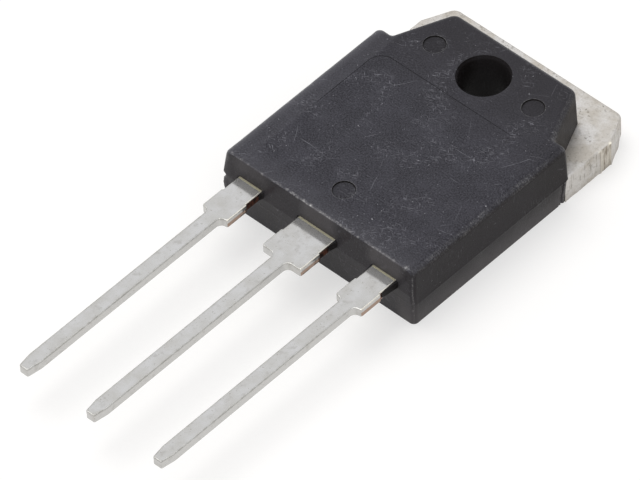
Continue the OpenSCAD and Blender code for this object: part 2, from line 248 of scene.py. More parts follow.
# Wear takes a few hundredths of a millimetre off, in patches, and single knocks take more
depth = 0.03 * wear_and_highlight * patches + 0.008 * grain(rings, 0.6, 3)
knocks = [  # place, reach and depth of each knock
    ((-7.7, -14.6, 2.71), 0.27, 0.25), ((-7.65, -14.55, 2.2), 0.1, 0.04), ((-7.65, -14.55, 4.3), 0.4, 0.01),
    ((-7.6, -14.6, 1.2), 0.2, 0.04), ((6.1, -14.5, 4.78), 0.12, 0.06), ((7.0, -14.45, 4.76), 0.22, 0.1),
    ((3.2, -14.55, 4.78), 0.12, 0.04), ((-1.7, -14.55, 4.78), 0.14, 0.05), ((-0.9, -14.55, 4.78), 0.1, 0.04),
    ((-4.6, -14.55, 4.78), 0.12, 0.04), ((7.58, -14.62, 1.3), 0.16, 0.05), ((7.6, -14.62, 2.1), 0.1, 0.04),
    ((-7.5, -9.2, 4.66), 0.15, 0.03), ((-7.5, -4.1, 4.66), 0.12, 0.03), ((5.0, 2.6, 4.7), 0.1, 0.03)]
for place, reach, deep in knocks:
    gap = np.linalg.norm(rings - place, axis=-1) / reach
    depth = depth + deep * np.clip(1 - gap, 0, 1) ** 1.3
    wear_and_highlight = np.maximum(wear_and_highlight, 1.5 * np.exp(-(gap / 0.8) ** 2))
# Compact bright flecks along the lead wall's upper edge
along = rings * [1, 0, 0]
flecks = np.exp(-(below_top / 0.04) ** 2) * at_wall_top * np.clip(grain(along, 0.16, 15) * 9 - 5.6, 0, 1)
wear_and_highlight = wear_and_highlight + 1.2 * flecks * np.clip(grain(along, 1.3, 16) * 4 - 1.8, 0, 1)
# The rings that other sheets join stay where they are
last = (np.arange(len(levels)) == len(levels) - 1)[:, None]
depth = depth * ((z > case_foot + 0.1) & (z != side_line) & ~last)
rings = rings - facing * depth[..., None]
# The near left corner is nearly square below its top: an arc's point, whose direction is n, lies
# r (1 / the larger of |nx| and |ny| - 1) inside the square corner along n. Below the notch it is a tenth
# of a millimetre fuller still, which takes up the draft there.
near_left = (x < -7) & (y < -14)
square = corner_r * (1 / np.maximum(np.maximum(np.abs(nx), np.abs(ny)), 0.1) - 1) * near_left
square = square * np.clip((4.5 - z) / 1.4, 0, 1) * np.clip((z - 0.2) / 0.6, 0, 1)
swollen = (0.06 + 0.05 * np.clip((2.3 - z) / 0.65, 0, 1)) * np.clip(2 * nx * ny, 0, 1) * near_left
swollen = swollen * np.clip((2.5 - z) / 0.2, 0, 1) * np.clip((z - 0.2) / 0.8, 0, 1)
rings = rings + (0.85 * square + swollen)[..., None] * facing * [1, 1, 0]

# The flash of plastic squeezed out at the parting line on the two sides, beside the tab's root
parting = len(below) - 1
body = np.flatnonzero(rings[parting, :, 1] < tab_root_y + 0.001)
body = np.roll(body, -int(np.argmax(np.diff(body) > 1)) - 1)
nose = np.arange(body[-1], body[0] + 1)
lower = rings[:parting + 1, body]
from_root = tab_root_y - lower[..., 1] + 0.08 * (grain(lower, 0.7, 4) - 0.5)
ripple = (0.03 * np.exp(-((from_root - 0.13) / 0.06) ** 2) - 0.13 * np.exp(-((from_root - 0.28) / 0.05) ** 2)
          - 0.08 * np.exp(-((from_root - 0.47) / 0.05) ** 2) * grain(lower, 0.5, 4))
fade = np.clip((side_line - lower[..., 2]) / 0.1, 0, 1) * np.clip((tab_root_y - lower[..., 1]) / 0.05, 0, 1)
lower = lower + facing[:parting + 1, body] * (ripple * fade)[..., None] * [1, 0, 0]
lower[..., 0] = np.where(from_root < 1, np.clip(lower[..., 0], -case_half, case_half), lower[..., 0])
lower_rub = wear_and_highlight[:parting + 1, body] + (fade > 0) * (
    1.25 * np.exp(-((from_root - 0.14) / 0.05) ** 2) + 0.9 * np.exp(-((from_root - 0.38) / 0.04) ** 2))

ejector_floor = case_top - ejector_depth
ejector_profile = [(ejector_r + 0.1, case_top), (ejector_r + 0.03, case_top),
                   (ejector_r + 0.012, case_top - 0.005), (ejector_r, case_top - 0.018),
                   (ejector_r - 0.01, ejector_floor + 0.03),
                   (ejector_r - 0.02, ejector_floor + 0.01), (ejector_r - 0.04, ejector_floor),
                   (ejector_r - 0.15, ejector_floor), (0.3, ejector_floor), (0, ejector_floor)]
mouth = hole_r + hole_bevel
bore_profile = [(mouth + 0.12, case_top), (mouth + 0.02, case_top), (mouth + 0.003, case_top - 0.004),
                (mouth - 0.005, case_top - 0.03), (hole_r + 0.06, case_top - hole_bevel - 0.05),
                (hole_r + 0.02, case_top - hole_bevel - 0.12), (hole_r, case_top - 0.35), (hole_r, 3.4),
                (hole_r, side_line), (hole_r, 1), (hole_r, case_foot)]
marks_on_top = [revolved(ejector_profile, centre) for centre in ejectors]
bore = revolved(bore_profile, (0, 0))


def insert_groove(aside):
    """Outline of the rounded oblong of the mould's insert, drawn outwards by aside."""
    x, y0, y1 = insert_x + aside, insert_low - aside, insert_high + aside
    return rounded([(x, y0), (x, y1), (-x, y1), (-x, y0)], [insert_r + aside] * 4, (60, 80, 60, 80), 12)


# The hairline round the insert is a shallow V that runs out towards the lead wall and the right-hand side
groove = np.array([insert_groove(aside) for aside in (0.03, 0.01, 0, -0.01, -0.03)])
fading = np.clip((groove[..., 1] + 9.4) / 2.4, 0, 1) * np.clip((5.5 - groove[..., 0]) / 1.5, 0, 1)
sunk = np.array([0, 0.8, 1, 0.8, 0])[:, None] * fading
groove = np.concatenate([groove, (case_top - 0.03 * sunk)[..., None]], -1)

# Below the parting line the plastic ends at the tab's root, apart from the lining in the flange's hole
reach = math.pi + math.asin(-tab_root_y / lining_r)
angle = np.linspace(reach, math.pi - reach, 49)
lining = np.column_stack([flange_x + lining_r * np.cos(angle), lining_r * np.sin(angle)])
end_wall = [np.vstack([row[:1], np.column_stack([lining, np.full(len(lining), row[0, 2])]), row[-1:]])
            for row in lower]
end_wall = np.stack(end_wall)
rims = [mark[0, :-1] for mark in marks_on_top + [bore]]
around_insert = plate([rings[-1], groove[0], *rims], 0.35)
on_insert = plate([groove[-1]], 0.35)
under_nose = plate([np.concatenate([rings[parting, nose], end_wall[-1, 1:-1]])], 0.6)
under_body = plate([np.concatenate([lower[0], end_wall[0, -2:0:-1]]), bore[-1, :-1]], 0.6)

# Slivers of resin between the wall and the bar that was cut away still cling to the sides of the leads; they
# are painted near black, partly as dark resin and partly as painted shade beside each lead
lead_middle, webs = 3.14, []
for lead_x, lead_side, length in ((-lead_pitch, outer_half, 0.3), (0, middle_half, 0.6),
                                  (lead_pitch, outer_half, 1.25)):
    for hand in (-1, 1):
        t = np.array([0, 0, 0.12, 0.3, 0.5, 0.7, 0.85, 0.95, 1, 1])[:, None]
        size = np.array([0, 1, 1, 1, 1, 1, 1, 0.9, 0.7, 0])[:, None]
        turn = np.linspace(0, 2 * np.pi, 25)
        width, tall = 0.05 + 0.14 * (1 - t) ** 1.4, 0.28 - 0.06 * t
        c, s = (np.sign(f) * np.abs(f) ** 0.5 for f in (np.cos(turn), np.sin(turn)))
        web = np.stack([lead_x + hand * (lead_side - 0.02 + width / 2 + size * width / 2 * c),
                        wall_y + 0.1 - (length + 0.1) * t + 0 * c, lead_middle - 0.02 + size * tall * s], -1)
        uneven = 0.03 * (grain(web, 0.12, 10) - 0.5) * (size > 0)
        webs.append(web - uneven[..., None] * [hand, 0, 1])
upper = closed(rings[parting:])
# The ejector marks' walls are painted near black and their floors darker: painted shade in the recess, and on
# the floors partly also unscuffed resin. Their rims are painted paler, a painted highlight
ring_of = np.ones(marks_on_top[0].shape[1])
ejector_shade = np.array([0, 0.1, 0.6, 1, 1, 0.8, 0.45, 0.3, 0.3, 0.3])[:, None] * ring_of
ejector_rim_highlight = np.array([0, 0.5, 0.4, 0, 0, 0, 0, 0, 0, 0])[:, None] * ring_of
sheets = [upper, lower, closed(groove), *webs, *marks_on_top, bore]
# The bore is painted darker below its mouth: painted shade in the hole
dark_resin_and_shade = [np.zeros(upper.shape[:2]), np.zeros(lower.shape[:2]), closed(0.6 * sunk),
       *[0.6 + 0.4 * grain(web, 0.1, 13) for web in webs], *[ejector_shade] * 3,
       np.array([0, 0, 0.2] + [0.5] * 8)[:, None] * ring_of]
case = make_piece("case_moulding", [*sheets, end_wall, around_insert, on_insert, under_nose, under_body],
                  {"wear_and_highlight": [closed(wear_and_highlight[parting:]), lower_rub, *[0 * part for part in dark_resin_and_shade[2:-4]],
                           *[ejector_rim_highlight] * 3],
                   "dark_resin_and_shade": dark_resin_and_shade, "painted_reflection": [closed(painted_reflection[parting:]), painted_reflection[:parting + 1, body]]})


def paint(hex_colour):
    """A colour written as on a screen, turned to linear light: (c + 0.055) / 1.055 to the power 2.4 for each
    of red, green and blue, or c / 12.92 where it is nearly black."""
    c = np.array([int(hex_colour[i:i + 2], 16) / 255 for i in (1, 3, 5)])
    return (*np.where(c < 0.04045, c / 12.92, ((c + 0.055) / 1.055) ** 2.4), 1.0)


def add(owner, kind, inputs, pick=0, **settings):
    """Adds one node with its settings to a material or the world, and returns the output that pick names or
    numbers. Each input, by name or number, is given a value or the socket that feeds it."""
    node = owner.node_tree.nodes.new("ShaderNode" + kind)
    for key, value in settings.items():
        setattr(node, key, value)
    for key, value in inputs.items():
        if isinstance(value, bpy.types.NodeSocket):
            owner.node_tree.links.new(value, node.inputs[key])
        else:
            node.inputs[key].default_value = value
    return node.outputs[pick] if node.outputs else node


def empty_material(name):
    """A new material without nodes."""
    material = bpy.data.materials.new(name)
    material.use_nodes = True
    material.node_tree.nodes.clear()
    return material


# Moulded epoxy filled with glass-like powder: nearly black, half matt and finely speckled where the powder
# shows, and paler where it is scuffed. It is painted near black in the insert's hairline and where the resin
# broke, and as painted shade down the hole, in the ejector marks and on the slivers beside the leads. The
# powder's grains are some
# 0.03 mm across, and are drawn three times as coarse so that they show.
epoxy = empty_material("moulded_black_epoxy")
place = add(epoxy, "TexCoord", {}, "Object")
speckle = add(epoxy, "TexNoise", {"Vector": place, "Scale": 1 / (0.1 * mm), "Detail": 3.0, "Roughness": 0.7})
mottle = add(epoxy, "TexNoise", {"Vector": place, "Scale": 1 / (1.6 * mm), "Detail": 4.0, "Roughness": 0.6})
light_grain = add(epoxy, "MapRange", {0: speckle, 1: 0.38, 2: 0.7})
colour = add(epoxy, "Mix", {0: light_grain, 6: paint("#29282c"), 7: paint("#4d4c52")}, 2, data_type="RGBA")
haze = add(epoxy, "MapRange", {0: mottle, 1: 0.42, 2: 0.75, 3: 0.0, 4: 0.3})
colour = add(epoxy, "Mix", {0: haze, 6: colour, 7: paint("#535259")}, 2, data_type="RGBA")
# The nose is painted darker and browner than the body: painted shade. The real nose is also smoother, which
# the roughness here leaves out
spot = add(epoxy, "SeparateXYZ", {0: place}).node.outputs
towards_nose = add(epoxy, "MapRange", {0: spot["Y"], 1: -5 * mm, 2: 1.5 * mm, 3: 0.0, 4: 0.7})
colour = add(epoxy, "Mix", {0: towards_nose, 6: colour, 7: paint("#312f31")}, 2, data_type="RGBA")
# Outside the insert the top is painted paler towards its left and near edges: rubbed wear, and towards the
# left edge also a painted sheen where the top rounds over
wear_and_sheen = add(epoxy, "MapRange", {0: spot["X"], 1: -6.05 * mm, 2: -6.2 * mm, 3: 0.0, 4: 0.17})
for axis, start, end, most in (("X", -6.7, -7.5, 0.7), ("Y", -12.8, -14.6, 0.25)):
    strip = add(epoxy, "MapRange", {0: spot[axis], 1: start * mm, 2: end * mm, 3: 0.0, 4: most})
    wear_and_sheen = add(epoxy, "Math", {0: wear_and_sheen, 1: strip}, operation="MAXIMUM")
colour = add(epoxy, "Mix", {0: wear_and_sheen, 6: colour, 7: paint("#605f63")}, 2, data_type="RGBA")
# Painted light: the upright faces are painted browner, a painted warm reflection, and the long sides and
# flanks are painted darker, painted shade away from the light overhead
way = add(epoxy, "SeparateXYZ", {0: add(epoxy, "TexCoord", {}, "Normal")}).node.outputs
up = add(epoxy, "MapRange", {0: way["Z"], 1: 0.3, 2: 0.9})
upright = add(epoxy, "MapRange", {0: way["Z"], 1: 0.3, 2: 0.6, 3: 0.45, 4: 0.0})
colour = add(epoxy, "Mix", {0: upright, 6: colour, 7: paint("#373230")}, 2, data_type="RGBA")
sideways = add(epoxy, "Math", {0: way["X"]}, operation="ABSOLUTE")
sideways = add(epoxy, "MapRange", {0: sideways, 1: 0.8, 2: 0.97, 3: 0.0, 4: 0.42})
flank = add(epoxy, "Math", {0: sideways, 1: towards_nose}, operation="MULTIPLY")
flank = add(epoxy, "Math", {0: flank, 1: 1.7, 2: sideways}, operation="MULTIPLY_ADD")
colour = add(epoxy, "Mix", {0: flank, 6: colour, 7: paint("#1f1b1a")}, 2, data_type="RGBA")
# The painted reflection: paler lower walls, and a paler lead wall above the leads
painted_reflection = add(epoxy, "Attribute", {}, "Fac", attribute_name="painted_reflection")
colour = add(epoxy, "Mix", {0: painted_reflection, 6: colour, 7: paint("#8f8a8a")}, 2, data_type="RGBA")

# Hairline scratches: lines where a coordinate across the scratch, bent by a slow noise, is near a whole
# number, kept only in patches
marks = 0.0
for turn, apart, bend, width, seed in (
        (24, 1.7, 1.69, 0.018, 1.0), (-40, 2.1, 2.21, 0.015, 2.0), (78, 1.9, 1.43, 0.018, 3.0),
        (-12, 2.5, 2.47, 0.015, 4.0), (52, 2.3, 1.95, 0.015, 5.0)):
    across = add(epoxy, "Mapping", {"Vector": place, "Rotation": (0, 0, math.radians(turn)),
                                    "Scale": (1 / (apart * mm),) * 3})
    across = add(epoxy, "SeparateXYZ", {0: across}, "X")
    slow = add(epoxy, "TexNoise", {"Vector": place, "W": seed, "Scale": 1 / (7 * mm), "Detail": 0.0},
               noise_dimensions="4D")
    bent_line = add(epoxy, "Math", {0: slow, 1: bend, 2: across}, operation="MULTIPLY_ADD")
    off_line = add(epoxy, "Math", {0: bent_line, 1: 0.5}, operation="PINGPONG")
    line = add(epoxy, "MapRange", {0: off_line, 1: 1.5 * width / apart, 2: 0.5 * width / apart})
    patch = add(epoxy, "TexNoise", {"Vector": place, "W": seed + 10, "Scale": 1 / (1.5 * mm), "Detail": 4.0},
                noise_dimensions="4D")
    kept = add(epoxy, "MapRange", {0: patch, 1: 0.58, 2: 0.72})
    line = add(epoxy, "Math", {0: line, 1: kept}, operation="MULTIPLY")
    marks = add(epoxy, "Math", {0: marks, 1: line}, operation="MAXIMUM")
# Short scuffs in clusters: noise drawn out to less than a millimetre, of which the highest part shows
cluster = add(epoxy, "TexNoise", {"Vector": place, "Scale": 1 / (2.6 * mm), "Detail": 2.0})
cluster = add(epoxy, "MapRange", {0: cluster, 1: 0.5, 2: 0.62})
for turn, length, seed in ((35, 0.45, 20.0), (-48, 0.35, 21.0), (10, 0.6, 22.0)):
    drawn = add(epoxy, "Mapping", {"Vector": place, "Rotation": (0, 0, math.radians(turn)),
                                   "Scale": (length, 0.07, length)}, vector_type="TEXTURE")
    streak = add(epoxy, "TexNoise", {"Vector": drawn, "W": seed, "Scale": 1 / mm, "Detail": 1.0},
                 noise_dimensions="4D")
    streak = add(epoxy, "MapRange", {0: streak, 1: 0.62, 2: 0.74})
    streak = add(epoxy, "Math", {0: streak, 1: cluster}, operation="MULTIPLY")
    marks = add(epoxy, "Math", {0: marks, 1: streak}, operation="MAXIMUM")
# The upright faces lie out of the way of most knocks
up = add(epoxy, "Math", {0: up, 1: 0.35}, operation="MAXIMUM")
marks = add(epoxy, "Math", {0: marks, 1: up}, operation="MULTIPLY")
# Chips, each a pale dot
chip = add(epoxy, "TexNoise", {"Vector": place, "Scale": 1 / (0.2 * mm), "Detail": 3.0, "Roughness": 0.75})
chip = add(epoxy, "MapRange", {0: chip, 1: 0.66, 2: 0.72})
chip_patch = add(epoxy, "TexNoise", {"Vector": place, "W": 31.0, "Scale": 1 / (2 * mm), "Detail": 2.0},
                 noise_dimensions="4D")
chip_patch = add(epoxy, "MapRange", {0: chip_patch, 1: 0.4, 2: 0.58})
chip = add(epoxy, "Math", {0: chip, 1: chip_patch}, operation="MULTIPLY")
chip = add(epoxy, "Math", {0: chip, 1: up}, operation="MULTIPLY")
# Rubbed edges, with the painted highlights on the corners and round the ejector marks, split up by a noise as
# fine as the powder shows
wear_and_highlight_fac = add(epoxy, "Attribute", {}, "Fac", attribute_name="wear_and_highlight")
bright = add(epoxy, "MapRange", {0: wear_and_highlight_fac, 1: 0.95, 2: 1.4})
fleck = add(epoxy, "MapRange", {0: wear_and_highlight_fac, 1: 1.5, 2: 1.9})
wear_and_highlight_fac = add(epoxy, "MapRange", {0: wear_and_highlight_fac, 1: 0.15, 2: 1.0})
crumbs = add(epoxy, "TexNoise", {"Vector": place, "Scale": 1 / (0.11 * mm), "Detail": 3.0, "Roughness": 0.7})
crumbs = add(epoxy, "MapRange", {0: crumbs, 1: 0.47, 2: 0.63, 3: 0.16, 4: 1.0})
wear_and_highlight_fac = add(epoxy, "Math", {0: wear_and_highlight_fac, 1: crumbs}, operation="MULTIPLY")
wear_and_highlight_fac = add(epoxy, "Math", {0: wear_and_highlight_fac, 1: bright}, operation="MAXIMUM")
dark_resin_and_shade_fac = add(epoxy, "Attribute", {}, "Fac", attribute_name="dark_resin_and_shade")
# The near-black tone is partly the resin's own and partly painted shade; the pale rubbed tone carries painted
# highlights besides wear
for amount, part, tone in ((0.5, marks, "#8e8d93"), (0.8, chip, "#b4b2b5"), (0.8, wear_and_highlight_fac, "#a5a3a2"),
                           (0.85, fleck, "#dedcda"), (0.9, dark_resin_and_shade_fac, "#151210")):
    amount = add(epoxy, "Math", {0: part, 1: amount}, operation="MULTIPLY")
    colour = add(epoxy, "Mix", {0: amount, 6: colour, 7: paint(tone)}, 2, data_type="RGBA")
height = add(epoxy, "Math", {0: marks, 1: -0.5, 2: speckle}, operation="MULTIPLY_ADD")
skin = add(epoxy, "Bump", {"Height": height, "Distance": 0.01 * mm, "Strength": 1.0})
gloss = add(epoxy, "MapRange", {0: mottle, 1: 0.3, 2: 0.7, 3: 0.3, 4: 0.42})
shader = add(epoxy, "BsdfPrincipled", {"Base Color": colour, "Roughness": gloss, "Normal": skin, "IOR": 1.5,
                                       "Specular IOR Level": 0.08})
add(epoxy, "OutputMaterial", {"Surface": shader})
case.data.materials.append(epoxy)
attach(case, "root")
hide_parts("moulded_case")

# THE HEAT-SINK FLANGE
# Copper strip 2 mm thick, stamped, nickel-plated and riveted to the middle lead. Its sheared sides keep
# the upright marks of the die, and the tie bars that joined it to the next one are cut off after plating.
low, high = (np.array(corner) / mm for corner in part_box("heat_sink_flange"))
tab_half, inner_half = 7.75, 6.8    # half widths of the tab and of the part inside the case
tie_half = tab_half + 0.05          # half width over the cut tie bars
flange_top = 2.0
ledge_out, ledge_z = 0.35, 0.8      # the ledge that the plastic grips
inner_y, tab_end = low[1] + ledge_out, high[1]
chamfer_x, tab_r = 0.95, 0.6
tie_low, tie_high = 1.875, 2.825    # ends of the tie bars along the side
rivet_r, rivet_head_r, rivet_x = 0.55, 0.85, 1.65
lead_thickness = 0.6


def flange_ring(z, inset=0.0):
    """Outline of the flange about its own middle at height z: the inner part is wider by the ledge above
    the ledge's height, and the whole outline shrinks by inset where the punch rolled the upper edge over."""
    out = ledge_out if z > ledge_z else 0
    x0, x1, x2 = inner_half + out - inset, tab_half - inset, tie_half - inset
    right = [(x0, inner_y - out + inset), (x0, tab_root_y + inset), (x1, tab_root_y + inset),
             (x1, tie_low + inset), (x2, tie_low + inset), (x2, tie_high),
             (tab_half - chamfer_x - inset * 0.6, tab_end - inset)]
    radii = [0.2, 0.03, 0.04, 0.015, 0.02, 0.1, tab_r]
    flat = rounded(right + [(-a, b) for a, b in reversed(right)], radii + radii[::-1],
                   (40, 4, 60, 2, 14, 28, 110, 28, 14, 2, 60, 4, 40, 40), 6)
    return np.column_stack([flat, np.full(len(flat), z)])


roll = 0.1   # radius of the edge that the punch rolls over
levels = [(0, 0.04), (0.01, 0.015),
          *[(z, 0) for z in (0.04, 0.2, 0.4, 0.6, ledge_z, ledge_z + 0.001, 1.0, 1.2, 1.4, 1.6, 1.75, 1.85)],
          *[(flange_top - roll * (1 - math.sin(a)), roll * (1 - math.cos(a)))
            for a in np.radians([0, 20, 40, 60, 80, 90])],
          (flange_top, roll + 0.03), (flange_top, roll + 0.1)]
rings = np.array([flange_ring(z, inset) for z, inset in levels])
facing = unit(outward(rings) * [1, 1, 0] + [0, 1e-9, 0])
z = rings[..., 2]
# The die's marks run up the side: grooves that keep their place round the outline and fade towards the top
place_round = rings * [1, 1, 0.06]
grooves = 0.02 * grain(place_round, 0.16, 5) + 0.03 * grain(place_round, 0.5, 6) * np.clip(1 - z / 1.6, 0, 1)
torn = 0.02 * grain(rings, 0.3, 7) * np.clip((0.7 - z) / 0.5, 0, 1)
on_tie = (rings[..., 1] > tie_low - 0.02) & (rings[..., 1] < tie_high + 0.02)
cut = (on_tie & (np.abs(rings[..., 0]) > tab_half + 0.005)) * 1.0
depth = grooves + torn + cut * (0.02 * (1 - z / flange_top) + 0.03 * grain(rings, 0.3, 8))
step = np.minimum(np.abs(rings[..., 1] - tie_low), np.abs(rings[..., 1] - tab_root_y))
depth = depth * np.clip((flange_top - 0.01 - z) / 0.05, 0, 1) * np.clip(step / 0.15, 0, 1)
corner_gap = np.linalg.norm((rings - [tab_half - chamfer_x, tab_end, 0]) / [1.1, 0.8, 0.6], axis=-1)
depth = depth + 0.3 * np.clip(1 - corner_gap, 0, 1)     # the foot of one corner is knocked blunt
rings = rings - facing * depth[..., None] + [flange_x, 0, 0]
hole = revolved([(lining_r, flange_top), (lining_r, 0)], (flange_x, 0))
rivet_y = wall_y + 2.68
rivet_profile = [(0, flange_top - 0.1), (rivet_r, flange_top - 0.1), (rivet_r, flange_top + lead_thickness),
                 (rivet_head_r, flange_top + lead_thickness + 0.02), (rivet_head_r, high[2] - 0.05),
                 (rivet_head_r - 0.05, high[2]), (0, high[2])]
rivets = [revolved(rivet_profile, (x, rivet_y), 32) for x in (-rivet_x, rivet_x)]
# Painted glints: near-white spots painted at the upper corners of the cut ties
painted_glint = sum(np.exp(-(np.linalg.norm(rings - (flange_x + tie_half, y, flange_top - 0.03), axis=-1) / 0.09) ** 2)
           for y in (tie_low - 0.05, tie_high - 0.1, tie_high + 0.02))
side_mark = np.clip((flange_top - 0.04 - z) / 0.06, 0, 1)
flange = make_piece("flange_plate", [closed(rings), hole, *rivets, plate([rings[-1], hole[0, :-1]], 0.5),
                                     plate([rings[0], hole[-1, :-1]], 0.5)],
                    {"cut": [closed(cut)], "side": [closed(side_mark)], "painted_glint": [closed(painted_glint)]})

# Dull nickel over copper: pale, warm and nearly matt, with fine dark pits and stains. The sheared side is
# streaked, and the cut ties show brassy copper.
nickel = empty_material("dull_nickel_plate")
place = add(nickel, "TexCoord", {}, "Object")
cloud = add(nickel, "TexNoise", {"Vector": place, "Scale": 1 / (1.4 * mm), "Detail": 4.0, "Roughness": 0.6})
fine = add(nickel, "TexNoise", {"Vector": place, "Scale": 1 / (0.12 * mm), "Detail": 3.0, "Roughness": 0.6})
pits = add(nickel, "TexNoise", {"Vector": place, "Scale": 1 / (0.22 * mm), "Detail": 2.0})
pits = add(nickel, "MapRange", {0: pits, 1: 0.57, 2: 0.72, 3: 0.0, 4: 0.75})
pitted = add(nickel, "TexNoise", {"Vector": place, "W": 3.0, "Scale": 1 / (1.2 * mm), "Detail": 2.0},
             noise_dimensions="4D")
pitted = add(nickel, "MapRange", {0: pitted, 1: 0.4, 2: 0.62})
pits = add(nickel, "Math", {0: pits, 1: pitted}, operation="MULTIPLY")
smear = add(nickel, "TexNoise", {"Vector": place, "W": 4.0, "Scale": 1 / (0.5 * mm), "Detail": 3.0},
            noise_dimensions="4D")
smear = add(nickel, "MapRange", {0: smear, 1: 0.6, 2: 0.75, 3: 0.0, 4: 0.5})
pits = add(nickel, "Math", {0: pits, 1: smear}, operation="MAXIMUM")
dust = add(nickel, "MapRange", {0: fine, 1: 0.45, 2: 0.75, 3: 0.0, 4: 0.45})
upright = add(nickel, "Mapping", {"Vector": place, "Scale": (1, 1, 0.12)})
shear = add(nickel, "TexNoise", {"Vector": upright, "Scale": 1 / (0.14 * mm), "Detail": 2.0})
side_face = add(nickel, "Attribute", {}, "Fac", attribute_name="side")
cut_face = add(nickel, "Attribute", {}, "Fac", attribute_name="cut")
painted_glint = add(nickel, "Attribute", {}, "Fac", attribute_name="painted_glint")
streaks = add(nickel, "MapRange", {0: shear, 1: 0.58, 2: 0.7, 3: 0.0, 4: 0.7})
streaks = add(nickel, "Math", {0: streaks, 1: side_face}, operation="MULTIPLY")
stain = add(nickel, "MapRange", {0: cloud, 1: 0.4, 2: 0.62})
brass = add(nickel, "Math", {0: shear, 1: cloud}, operation="ADD")
brass = add(nickel, "MapRange", {0: brass, 1: 0.9, 2: 1.15})
brass = add(nickel, "Mix", {0: brass, 6: paint("#c6c0b5"), 7: paint("#8b8275")}, 2, data_type="RGBA")
metal = add(nickel, "Mix", {0: stain, 6: paint("#c8c5c1"), 7: paint("#b6b0a7")}, 2, data_type="RGBA")
# The last, near-white tone is a painted glint
for amount, tone in ((dust, paint("#9d978d")), (pits, paint("#5f594e")), (streaks, paint("#7b766b")),
                     (cut_face, brass), (painted_glint, paint("#fffaea"))):
    metal = add(nickel, "Mix", {0: amount, 6: metal, 7: tone}, 2, data_type="RGBA")
height = add(nickel, "Math", {0: shear, 1: side_face, 2: fine}, operation="MULTIPLY_ADD")
skin = add(nickel, "Bump", {"Height": height, "Distance": 0.008 * mm, "Strength": 1.0})
gloss = add(nickel, "MapRange", {0: cloud, 1: 0.3, 2: 0.7, 3: 0.38, 4: 0.5})
shader = add(nickel, "BsdfPrincipled", {"Base Color": metal, "Metallic": 1.0, "Roughness": gloss,
                                        "Normal": skin})
add(nickel, "OutputMaterial", {"Surface": shader})
flange.data.materials.append(nickel)
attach(flange, "root")
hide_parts("heat_sink_flange")

# THE THREE LEADS
# Copper strip 0.6 mm thick, stamped in one comb and tinned. The bars that joined the leads are cut off
# after moulding, so the stubs beside the wide parts show bare copper, and the tips are cut to a taper.
lead_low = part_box("base_lead")[0][2] / mm
lead_half = 0.5            # half width of the narrow part
root_y, tip_y = wall_y - 3.1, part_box("base_lead")[0][1] / mm
stub_y = root_y + 1.7      # the cut bar reaches this far back towards the case
stub_out, shoulder_r, fillet_r = 0.09, 0.12, 0.4
tip_half, tip_len = 0.34, 1.0
pad_y, pad_end, pad_half = wall_y + 0.8, wall_y + 3.4, 1.6
bend_y, bend_len, bend_angle = wall_y + 0.8, 0.7, math.radians(60)
paddle_y, paddle_end, paddle_half = bend_y + 1.6, bend_y + 3.27, 2.7   # along the strip before it is bent


def lead_outline(root_half, inner, inset=0.0):
    """Outline of one lead about its own middle line, from the corners of its tip to the wide part beside
    the case and on to what it has inside, shrunk by inset: corners with the radius and the number of parts
    of each, mirrored in the middle line."""
    right = [(tip_half - inset, tip_y + inset, 0.1, 12), (lead_half - inset, tip_y + tip_len, 0.9, 130),
             (lead_half - inset, root_y + inset, fillet_r, 3),
             (root_half + stub_out - inset, root_y + inset, shoulder_r, 16),
             (root_half + stub_out - inset, stub_y - inset, 0.03, 2),
             (root_half - inset, stub_y + 0.09 - inset, 0.04, 16)]
    right += inner(root_half, inset)
    x, y, r, parts = (np.array(column) for column in zip(*right))
    flat = rounded(np.column_stack([np.r_[x, -x[::-1]], np.r_[y, y[::-1]]]), np.r_[r, r[::-1]],
                   [*parts, *parts[-2::-1], 8], 6)
    return flat


def outer_inner(root_half, inset):
    """Inside the case an outer lead has a neck and then a wide pad for its bond wires."""
    return [(root_half - inset, pad_y + inset, 0.05, 4), (pad_half - inset, pad_y + inset, 0.1, 12),
            (pad_half - inset, pad_end - inset, 0.1, 16)]


def middle_inner(root_half, inset):
    """Inside the case the middle lead runs on, past its bends, and widens to the paddle on the flange."""
    return [(root_half - inset, paddle_y + inset, 0.05, 6), (paddle_half - inset, paddle_y + inset, 0.1, 12),
            (paddle_half - inset, paddle_end - inset, 0.1, 30)]


def bent(points):
    """Carries a flat strip along its bent path. The slope rises evenly to bend_angle over one bend, holds,
    and falls back over the other; the path is the running sum of its cosine forwards and sine downwards,
    and each point keeps its distance from the strip's middle, square to the slope."""
    s = np.linspace(0, 6, 3001)
    slope = np.interp(s, [0, bend_len, bend_len + 0.2, 2 * bend_len + 0.2], [0, bend_angle, bend_angle, 0])
    run, fall = (np.concatenate([[0], np.cumsum(f(slope))[:-1]]) * (s[1] - s[0]) for f in (np.cos, np.sin))
    x, y, z = np.moveaxis(points, -1, 0)
    inside = np.clip(y - bend_y, 0, None)
    a, h = np.interp(inside, s, slope), z - lead_low - lead_thickness / 2
    return np.stack([x, np.minimum(y, bend_y) + np.interp(inside, s, run) + np.sin(a) * h,
                     lead_low + lead_thickness / 2 - np.interp(inside, s, fall) + np.cos(a) * h], -1)


